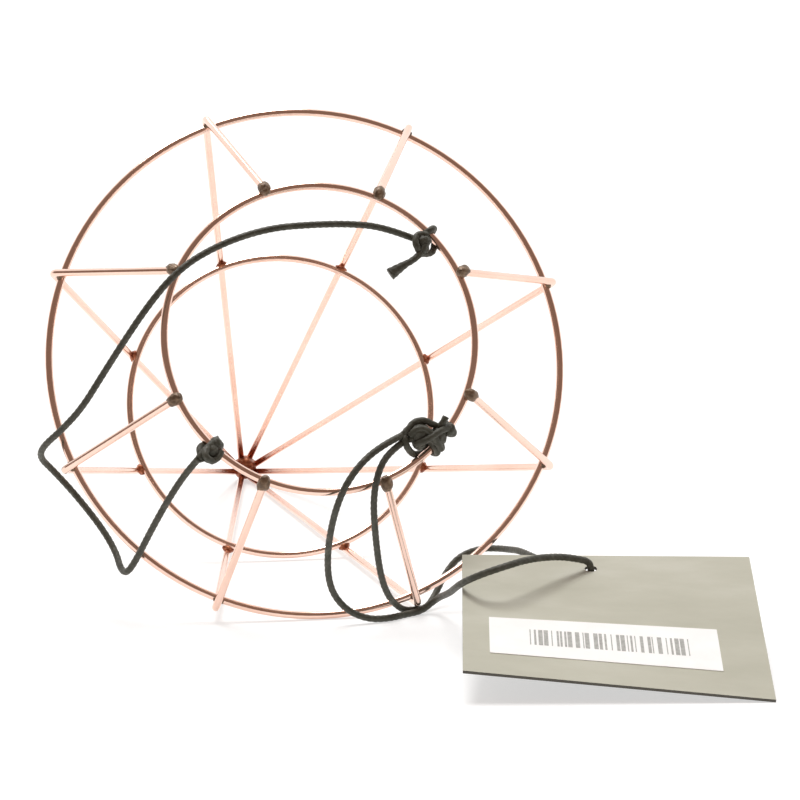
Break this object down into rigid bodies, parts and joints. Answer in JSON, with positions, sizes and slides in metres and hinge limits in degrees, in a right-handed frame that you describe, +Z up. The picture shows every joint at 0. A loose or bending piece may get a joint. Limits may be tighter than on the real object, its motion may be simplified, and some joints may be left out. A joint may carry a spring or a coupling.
{
  "type": "wire hanging planter",
  "caption": "Tapered wire hanging cage of rings and bent ribs meeting in a point, with dark hanger cords knotted to its top ring and a card tag on the cord loop.",
  "frame": {"origin": "on the surface it lies on, at the centre of the base of the box round the cage and the tag, without the free cords and their knots", "axes": "+Z up; the cage lies on its side with its mouth facing -Y and its point towards +Y; +X to the right seen from the mouth side, towards the tag"},
  "size_m": [0.2009, 0.2875, 0.1423],
  "materials": {
    "copper_wire": "copper plated steel wire, satin bright",
    "weld": "red-brown braze fillets",
    "waxed_cord": "waxed round cotton cord, dark olive grey",
    "card": "matt warm grey card",
    "sticker": "matt white paper label"
  },
  "bodies": {
    "cage": {"middle_ring": "copper_wire", "top_ring": "copper_wire", "lower_ring": "copper_wire", "rib_1": "copper_wire", "rib_2": "copper_wire", "rib_3": "copper_wire", "rib_4": "copper_wire", "rib_5": "copper_wire", "rib_6": "copper_wire", "rib_7": "copper_wire", "rib_8": "copper_wire", "middle_ring_welds": "weld", "top_ring_welds": "weld", "lower_ring_welds": "weld", "hub_weld": "weld", "long_cord": "waxed_cord", "cord_tail": "waxed_cord", "loop_cord": "waxed_cord", "knot_1": "waxed_cord", "knot_2": "waxed_cord", "knot_3": "waxed_cord"},
    "tag": {"tag_card": "card", "tag_sticker": "sticker"}
  },
  "joints": [
    {"name": "tag_swivel", "type": "hinge", "parent": "cage", "child": "tag", "pos_m": [0.05503, -0.08195, 0.0198], "axis": [0, 0, 1], "range_deg": [0, 40]}
  ]
}
